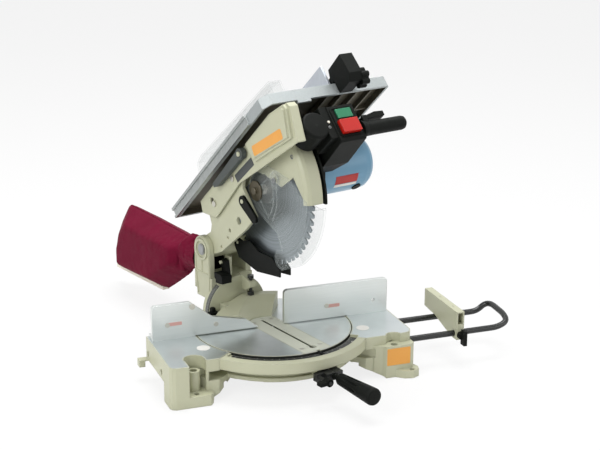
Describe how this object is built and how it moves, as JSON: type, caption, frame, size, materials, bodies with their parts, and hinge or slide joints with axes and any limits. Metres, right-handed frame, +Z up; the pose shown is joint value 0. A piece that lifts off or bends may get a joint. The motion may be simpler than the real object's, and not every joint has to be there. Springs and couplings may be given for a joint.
{
  "type": "table-top mitre saw",
  "caption": "Table-top mitre saw: turntable base with split fence, tilting chop head with guarded blade and motor, rip-cut table on the head, holder rods and dust bag.",
  "frame": {"origin": "on the turntable axis at the bench, where the centre foot of the base stands", "axes": "+X to the saw's right along the fence, +Y to its back, +Z up from the bench"},
  "size_m": [0.6394, 0.7772, 0.5376],
  "materials": {
    "cream": "cast aluminium, pale olive paint",
    "cast_alu": "machined",
    "steel": "plain",
    "zinc": "zinc plated",
    "black_plastic": "moulded",
    "black_metal": "black paint",
    "blue": "moulded",
    "clear": "clear plastic",
    "board": "plastic insert",
    "red": "button",
    "green": "button",
    "bag": "woven cloth",
    "white": "slide rail"
  },
  "bodies": {
    "base": {"base": "cream", "miter_scale": "black_plastic", "left_fence": "cast_alu", "right_fence": "cast_alu", "fence_screws": "zinc", "pivot_bolt": "steel"},
    "rods": {"holder_rods": "black_metal"},
    "stop": {"stop_plate": "cream"},
    "stop_knob": {"stop_screw": "black_plastic"},
    "table": {"turntable": "cream", "kerf_board": "board", "kerf_screws": "zinc", "pointer": "red", "bevel_pin": "steel", "bevel_pointer": "black_plastic"},
    "grip": {"grip": "black_plastic"},
    "detent": {"detent_lever": "black_plastic"},
    "bracket": {"arm_bracket": "cream", "bevel_scale": "steel", "stop_bolt": "black_metal", "pivot_shaft": "steel", "dust_nozzle": "black_plastic", "dust_bag": "bag", "bag_rail": "white"},
    "clamp_lever": {"bevel_lever": "black_plastic"},
    "latch": {"latch": "black_plastic"},
    "head": {"head_arm": "cream", "upper_cover": "cream", "blade_case": "cream", "cover_screws": "zinc", "gear_housing": "black_plastic", "switch_housing": "black_plastic", "motor_housing": "blue", "brush_caps": "black_plastic", "stator": "steel", "bearings": "steel", "handle": "black_plastic", "table_posts": "steel"},
    "lock_button": {"handle_lever": "black_plastic"},
    "green": {"green_button": "green"},
    "red": {"red_button": "red"},
    "height_lever": {"table_lever": "black_plastic"},
    "rotor": {"armature": "steel"},
    "spindle": {"spindle": "steel", "main_gear": "steel", "flanges": "steel", "arbor_bolt": "zinc", "blade": "steel"},
    "guard": {"lower_guard": "clear", "hub_plate": "steel"},
    "link": {"guard_link": "black_plastic"},
    "flap": {"dust_guard": "black_plastic"},
    "top": {"upper_table": "cast_alu", "side_rail": "cast_alu", "table_insert": "black_plastic", "riving_knife": "steel"},
    "top_guard": {"top_guard": "clear"},
    "rip": {"rip_fence": "cast_alu", "rip_clamp": "black_plastic"},
    "rip_knob": {"rip_knob": "black_plastic"}
  },
  "joints": [
    {"name": "mitre", "type": "hinge", "parent": "base", "child": "table", "pos_m": [0, 0, 0.072], "axis": [0, 0, -1], "range_deg": [-30, 60]},
    {"name": "bevel", "type": "hinge", "parent": "table", "child": "bracket", "pos_m": [-0.02795, 0.10432, 0.072], "axis": [0.2588, -0.9659, 0], "range_deg": [0, 45]},
    {"name": "chop", "type": "hinge", "parent": "bracket", "child": "head", "pos_m": [-0.0383, 0.14296, 0.177], "axis": [0.9659, 0.2588, 0], "range_deg": [0, 40.5]},
    {"name": "blade_spin", "type": "hinge", "parent": "head", "child": "spindle", "pos_m": [-0.00265, 0.00991, 0.31228], "axis": [0.9659, 0.2588, 0], "continuous": true},
    {"name": "motor_spin", "type": "hinge", "parent": "head", "child": "rotor", "pos_m": [0.00309, -0.01152, 0.33981], "axis": [0.9659, 0.2588, 0], "continuous": true},
    {"name": "guard_open", "type": "hinge", "parent": "head", "child": "guard", "pos_m": [-0.00265, 0.00991, 0.31228], "axis": [-0.9659, -0.2588, 0], "range_deg": [0, 72]},
    {"name": "link_swing", "type": "hinge", "parent": "head", "child": "link", "pos_m": [-0.0076, 0.02837, 0.29172], "axis": [-0.9659, -0.2588, 0], "range_deg": [0, 40]},
    {"name": "flap_swing", "type": "hinge", "parent": "head", "child": "flap", "pos_m": [-0.02235, 0.0834, 0.20032], "axis": [-0.9659, -0.2588, 0], "range_deg": [0, 45]},
    {"name": "green_press", "type": "slide", "parent": "head", "child": "green", "axis": [-0.1893, 0.7064, -0.682], "range_m": [0, 0.0025], "stiffness_N_per_m": 1200},
    {"name": "red_press", "type": "slide", "parent": "head", "child": "red", "axis": [-0.1893, 0.7064, -0.682], "range_m": [0, 0.0035], "stiffness_N_per_m": 1200},
    {"name": "lever_press", "type": "hinge", "parent": "head", "child": "lock_button", "pos_m": [0.11669, -0.09355, 0.44179], "axis": [-0.1893, 0.7064, -0.682], "range_deg": [0, 4.5], "stiffness_Nm_per_rad": 0.6},
    {"name": "table_height", "type": "slide", "parent": "head", "child": "top", "axis": [-0.1765, 0.6588, 0.7314], "range_m": [0, 0.04]},
    {"name": "height_lock", "type": "hinge", "parent": "head", "child": "height_lever", "pos_m": [-0.05118, 0.00556, 0.37696], "axis": [-0.9659, -0.2588, 0], "range_deg": [0, 30]},
    {"name": "top_guard_lift", "type": "hinge", "parent": "top", "child": "top_guard", "pos_m": [-0.04817, 0.17977, 0.28092], "axis": [-0.9659, -0.2588, 0], "range_deg": [0, 50]},
    {"name": "rip_slide", "type": "slide", "parent": "top", "child": "rip", "axis": [0.9659, 0.2588, 0], "range_m": [-0.06, 0.045]},
    {"name": "rip_turn", "type": "hinge", "parent": "rip", "child": "rip_knob", "pos_m": [0.13535, -0.04149, 0.49786], "axis": [0.9659, 0.2588, 0], "range_deg": [0, 180]},
    {"name": "grip_turn", "type": "hinge", "parent": "table", "child": "grip", "pos_m": [0.04581, -0.17097, 0.043], "axis": [0.2588, -0.9659, 0], "range_deg": [0, 180]},
    {"name": "detent_press", "type": "hinge", "parent": "table", "child": "detent", "pos_m": [0.02599, -0.18974, 0.043], "axis": [-0.2588, 0.9659, 0], "range_deg": [0, 12], "stiffness_Nm_per_rad": 0.8},
    {"name": "latch_swing", "type": "hinge", "parent": "bracket", "child": "latch", "pos_m": [-0.0496, 0.10784, 0.158], "axis": [-0.9659, -0.2588, 0], "range_deg": [-10, 10]},
    {"name": "bevel_clamp", "type": "hinge", "parent": "table", "child": "clamp_lever", "pos_m": [-0.03572, 0.1333, 0.072], "axis": [-0.2588, 0.9659, 0], "range_deg": [0, 35]},
    {"name": "rods_slide", "type": "slide", "parent": "base", "child": "rods", "axis": [1, 0, 0], "range_m": [-0.028, 0.025]},
    {"name": "stop_slide", "type": "slide", "parent": "rods", "child": "stop", "axis": [1, 0, 0], "range_m": [-0.035, 0.06]},
    {"name": "stop_turn", "type": "hinge", "parent": "stop", "child": "stop_knob", "pos_m": [0.30275, -0.11, 0.053], "axis": [0, -1, 0], "range_deg": [0, 180]}
  ],
  "couplings": [
    {"joint": "motor_spin", "follows": "blade_spin", "ratio": -3.5612},
    {"joint": "guard_open", "follows": "chop", "ratio": 1.7778},
    {"joint": "link_swing", "follows": "chop", "ratio": 0.9},
    {"joint": "flap_swing", "follows": "chop", "ratio": 1.1111}
  ]
}
